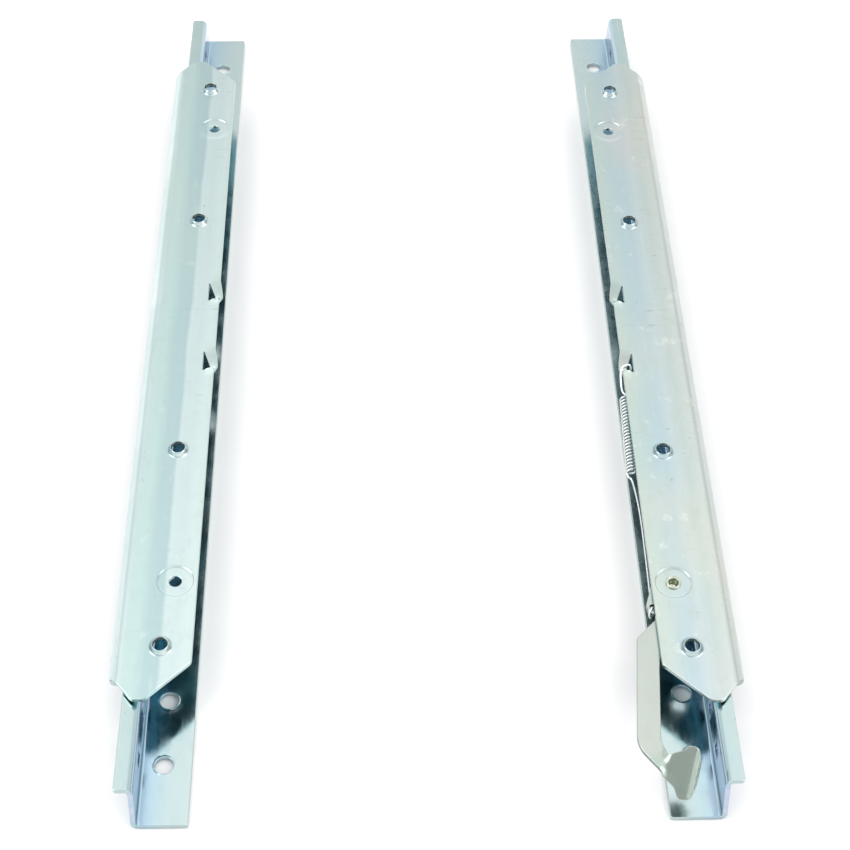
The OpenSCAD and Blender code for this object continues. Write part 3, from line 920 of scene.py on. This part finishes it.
def lever_place(points, height, top):
    """The tooth's tab bends down, and the paddle twists about its neck and curls at its edge."""
    x, y = points[:, 0], points[:, 1]
    bent_x, bent_z = LEVER_SECTION.place(LEVER_FROM - x, height)
    offset = points - np.array(NECK)
    a, v = offset @ AXIS, offset @ ACROSS
    twist = PADDLE_TWIST * smooth(a, -2.2, 2.4)
    curl = np.clip(a - CURL_FROM, 0, None) / CURL_R
    reach = np.minimum(a, CURL_FROM) + (CURL_R + height) * np.sin(curl)
    lift = height * np.cos(curl) - CURL_R * (1 - np.cos(curl))
    v_flat = v * np.cos(twist) - lift * np.sin(twist)
    rise = v * np.sin(twist) + lift * np.cos(twist)
    plan = np.array(NECK) + reach[:, None] * AXIS + v_flat[:, None] * ACROSS
    out = np.stack([plan[:, 0], plan[:, 1], LEVER_TOP - SHEET / 2 + rise], axis=1)
    tab = y > TAB_FROM_Y
    out[tab] = np.stack([bent_x, y, bent_z], axis=1)[tab]
    return out


def lever():
    outer = subdivided(rounded(lever_outer()), 1.5, 2.5)
    holes = [circle(PIVOT, PIVOT_R, 32), circle(EAR, EAR_R, 20)]
    lines = np.linspace(-12, 43, 46)
    rows = np.linspace(-296, -96, 160)
    return sheet(outer, holes, lever_place, lines, rows, gap=0.8)


# ---- Turned and wound parts ----

def pivot_rivet():
    """Semi-tubular rivet: solid head below, rolled rim and blind bore above."""
    rim_z = PLATE_TOP - PAD_DEPTH
    low = span("pivot_rivet", 2)[0]
    profile = [(0, low)] + arc((3.9, low + 0.6), 0.6, -90, 0) + [(4.5, low + 0.9), (3.1, low + 0.9),
               (3.1, rim_z)]
    profile += [(3.9, rim_z + 0.02)] + arc((3.5, rim_z + 0.26), 0.42, -30, 100)
    profile += [(3.1, rim_z + 0.34)] + arc((2.8, rim_z + 0.18), 0.34, 80, 160)
    profile += [(2.4, rim_z), (2.25, rim_z - 0.6), (2.25, rim_z - 3.6), (1.5, rim_z - 4.1), (0, rim_z - 4.2)]
    return turned(profile, PIVOT)


def stop_rivet():
    """Travel stop: a domed head on the flange and a small tail under it."""
    under = FLANGE_TOP - SHEET
    profile = [(0, under - 1.1)] + arc((1.7, under - 0.6), 0.5, -90, 0) + [(2.2, under), (1.5, under)]
    profile += [(1.5, FLANGE_TOP), (3.0, FLANGE_TOP), (3.0, FLANGE_TOP + 0.5)]
    profile += [(2.75, FLANGE_TOP + 0.95), (2.1, FLANGE_TOP + 1.3), (1.1, FLANGE_TOP + 1.47),
                (0, FLANGE_TOP + 1.5)]
    return turned(profile, (STOP_X, 0), 32)


def tube_ring(node, outer, inner, chamfer):
    """A washer or bush of the CAD node's height, with broken edges."""
    low, high = span(node, 2)
    profile = [(inner + chamfer, low), (outer - chamfer, low), (outer, low + chamfer),
               (outer, high - chamfer), (outer - chamfer, high), (inner + chamfer, high),
               (inner, high - chamfer), (inner, low + chamfer)]
    return turned(profile, PIVOT)


COIL_FAR = Vector((26.0, -46.5, 22.8))
COIL_NEAR = Vector((27.7, -99.5, 22.8))
COIL_R = 2.4
WIRE_R = 0.6
COIL_TURNS = 23
COIL_STEPS = 20              # points in each turn
STRAIGHT = ((26, -110, 22), (26, -184, 22))    # ends of the wire's straight run


def spring_line():
    """From the hook in the eye, through the coil, to the hook in the lever's ear."""
    axis = COIL_NEAR - COIL_FAR
    coil = []
    steps = COIL_TURNS * COIL_STEPS + COIL_STEPS // 2
    for k in range(steps + 1):
        turn = math.pi + 2 * math.pi * k / COIL_STEPS
        centre = COIL_FAR + axis * (k / steps)
        coil.append(centre + Vector((COIL_R * math.cos(turn), 0, -COIL_R * math.sin(turn))))
    hook = [(21.4, -29.7, 27.3), (21.5, -28.9, 29.2), (22.3, -28.5, 30.7), (24.0, -28.7, 31.0),
            (25.7, -29.4, 30.9), (26.9, -30.9, 30.3), (27.5, -33.0, 29.4), (27.6, -37.0, 27.5),
            (27.4, -40.8, 25.8), (26.8, -43.6, 24.9), (25.2, -45.4, 24.4), tuple(coil[0])]
    tail = [tuple(coil[-1]), (29.3, -101.6, 22.0), (27.2, -106, 21.6), (25.6, -130, 21.8),
            (26.0, -180, 21.6), (26.1, -186.4, 21.8), (26.2, -188.0, 23.4), (26.3, -188.4, 25.2),
            (26.9, -189.6, 26.2), (28.0, -191.4, 26.0), (28.3, -193.0, 24.6), (27.6, -193.2, 22.9)]
    return spline(hook)[:-1] + coil[:-1] + spline(tail)


# ---- Building every piece ----

lower_solid = lower_rail()
upper_solid = upper_rail()
thread_solid = tap_threads()
for side in SIDES:
    body = "upper_" + side
    shift = REST_SHIFT[side]
    piece(side + "_lower_rail", lower_solid, side, 0, "lower_rails", "lower_rail_" + side,
          MATERIALS["lower_" + side])
    piece(side + "_upper_rail", upper_solid, side, shift, body, "upper_rail_" + side,
          MATERIALS[body])
    piece(side + "_tap_threads", thread_solid, side, shift, body, None, MATERIALS["thread"])
    piece(side + "_stop_rivet", stop_rivet(), side, 0, "lower_rails", "stop_rivet_" + side,
          MATERIALS["small"])

slide = REST_SHIFT["right"]
piece("lever_with_paddle", lever(), "right", slide, "lever", "lock_lever",
      MATERIALS["lever"])
piece("tubular_rivet", pivot_rivet(), "right", slide, "upper_right", "pivot_rivet",
      MATERIALS["rivet"])
piece("steel_bush", tube_ring("pivot_bush", 4.0, BUSH_BORE_R, 0.2), "right", slide, "upper_right",
      "pivot_bush", MATERIALS["small"])
piece("acetal_washer", tube_ring("pivot_washer", 8.0, PIVOT_R, 0.2), "right", slide, "upper_right",
      "pivot_washer", MATERIALS["acetal"])
piece("steel_washer", tube_ring("retaining_washer", 7.5, BUSH_BORE_R, 0.3), "right", slide, "upper_right",
      "retaining_washer", MATERIALS["small"])
wire = piece("coil_spring", tube(spring_line(), WIRE_R), "right", slide, None, "return_spring",
             MATERIALS["spring"])
blend_ends = to_row(STRAIGHT, "right", slide)
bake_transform(wire)

for name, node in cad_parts.items():
    if "glide" in name:
        node.data.materials.clear()
        node.data.materials.append(MATERIALS["acetal"])
        bevel = node.modifiers.new("Moulded edges", "BEVEL")
        bevel.width = 0.25 * MM
        bevel.segments = 2
        bevel.limit_method = "ANGLE"
        bevel.angle_limit = math.radians(35)


# ---- Floor, light and camera ----

WORLD_LEVEL = 1.6
# Brightness by the height of a direction, from 0 at the horizon to 1 overhead
WORLD_HEIGHTS = ((0.0, 0.95), (0.35, 0.85), (0.55, 0.64), (0.85, 0.98), (1.0, 1.0))
PATCH_TOWARD = (-0.125, -0.475, 0.871)
PATCH_EDGE = (0.89, 0.98)    # cosines of the angles where the dark patch begins and is full
PATCH_LEVEL = 0.46
WING_EDGE = (0.78, 0.95)     # the same for the dim sides, by |X| of the direction
WING_LEVEL = 0.5
SOFTBOX_SIZE = (1.0, 1.6)
SOFTBOXES = (("left_softbox", (-1.3, -0.3, 1.2), 12), ("right_softbox", (1.3, -0.4, 1.2), 9.5))
FLOOR_HALF = 6.0
FLOOR_DROP = 0.3 * MM
CAMERA_PLACE = (-0.0197, -0.6885, 0.7375)
CAMERA_PITCH = math.radians(49.185)
CAMERA_YAW = math.radians(2.09)
CAMERA_ROLL = math.radians(0.96)
CAMERA_LENS = 73.17


def softbox(name, place, power):
    """A large area light aimed at the middle of the set."""
    data = bpy.data.lights.new(name, "AREA")
    data.shape = "RECTANGLE"
    data.size, data.size_y = SOFTBOX_SIZE
    data.energy = power
    lamp = bpy.data.objects.new(name, data)
    bpy.context.scene.collection.objects.link(lamp)
    lamp.location = place
    lamp.rotation_euler = (-Vector(place)).to_track_quat("-Z", "Y").to_euler()


def floor_plane():
    """A plain pale floor, just under the rails."""
    mesh = bpy.data.meshes.new("floor")
    corners = [(x * FLOOR_HALF, y * FLOOR_HALF, 0) for x, y in ((-1, -1), (1, -1), (1, 1), (-1, 1))]
    mesh.from_pydata(corners, [], [(0, 1, 2, 3)])
    obj = bpy.data.objects.new("floor", mesh)
    obj.location = (0, 0, -FLOOR_DROP)
    bpy.context.scene.collection.objects.link(obj)
    n = Nodes("white_floor")
    tone = n.noise(3, detail=2)
    n.link(n.ramp(tone, [(0.3, (0.82, 0.82, 0.82)), (0.7, (0.84, 0.84, 0.84))]),
           n.shader.inputs["Base Color"])
    n.shader.inputs["Roughness"].default_value = 0.9
    n.shader.inputs["Specular IOR Level"].default_value = 0.0
    mesh.materials.append(n.material)


def studio_world():
    """An even white room, dimmer at its far left and right, with a dark patch over the camera."""
    world = bpy.data.worlds.new("studio")
    bpy.context.scene.world = world
    world.use_nodes = True
    tree = world.node_tree
    background = tree.nodes["Background"]

    def add(kind, *links):
        """A node fed by (output, name or number of its socket) pairs."""
        node = tree.nodes.new(kind)
        for output, socket in links:
            tree.links.new(output, node.inputs[socket])
        return node

    def fade(output, edge, low, high):
        """A smooth change from low to high as the value passes over the edge."""
        node = add("ShaderNodeMapRange", (output, "Value"))
        node.interpolation_type = "SMOOTHSTEP"
        for socket, level in zip(("From Min", "From Max", "To Min", "To Max"), (*edge, low, high)):
            node.inputs[socket].default_value = level
        return node.outputs["Result"]

    direction = tree.nodes.new("ShaderNodeTexCoord").outputs["Generated"]
    parts = add("ShaderNodeSeparateXYZ", (direction, "Vector"))
    height = add("ShaderNodeValToRGB", (parts.outputs["Z"], "Fac"))
    while len(height.color_ramp.elements) < len(WORLD_HEIGHTS):
        height.color_ramp.elements.new(0.5)
    for element, (place, tone) in zip(height.color_ramp.elements, WORLD_HEIGHTS):
        element.position = place
        element.color = (tone, tone, tone, 1)
    toward = add("ShaderNodeVectorMath", (direction, 0))
    toward.operation = "DOT_PRODUCT"
    toward.inputs[1].default_value = PATCH_TOWARD
    patch = fade(toward.outputs["Value"], PATCH_EDGE, WORLD_LEVEL, PATCH_LEVEL * WORLD_LEVEL)
    aside = add("ShaderNodeMath", (parts.outputs["X"], 0))
    aside.operation = "ABSOLUTE"
    wings = fade(aside.outputs["Value"], WING_EDGE, 1.0, WING_LEVEL)
    level = add("ShaderNodeMath", (wings, 0), (patch, 1))
    level.operation = "MULTIPLY"
    tree.links.new(height.outputs["Color"], background.inputs["Color"])
    tree.links.new(level.outputs["Value"], background.inputs["Strength"])


def camera():
    """Above the near end of the rails, looking down and along them."""
    ahead = math.cos(CAMERA_PITCH)
    forward = Vector((math.sin(CAMERA_YAW) * ahead, math.cos(CAMERA_YAW) * ahead,
                      -math.sin(CAMERA_PITCH)))
    right = Vector((math.cos(CAMERA_YAW), -math.sin(CAMERA_YAW), 0))
    up = right.cross(forward)
    across = right * math.cos(CAMERA_ROLL) + up * math.sin(CAMERA_ROLL)
    upward = up * math.cos(CAMERA_ROLL) - right * math.sin(CAMERA_ROLL)
    data = bpy.data.cameras.new("camera")
    data.sensor_width = 36
    data.lens = CAMERA_LENS
    data.clip_start = 0.01
    obj = bpy.data.objects.new("camera", data)
    bpy.context.scene.collection.objects.link(obj)
    turn = Matrix((across, upward, -forward)).transposed().to_4x4()
    obj.matrix_world = Matrix.Translation(CAMERA_PLACE) @ turn
    bpy.context.scene.camera = obj


floor_plane()
studio_world()
camera()
for lamp_name, place, power in SOFTBOXES:
    softbox(lamp_name, place, power)
bpy.context.scene.view_settings.view_transform = "Standard"
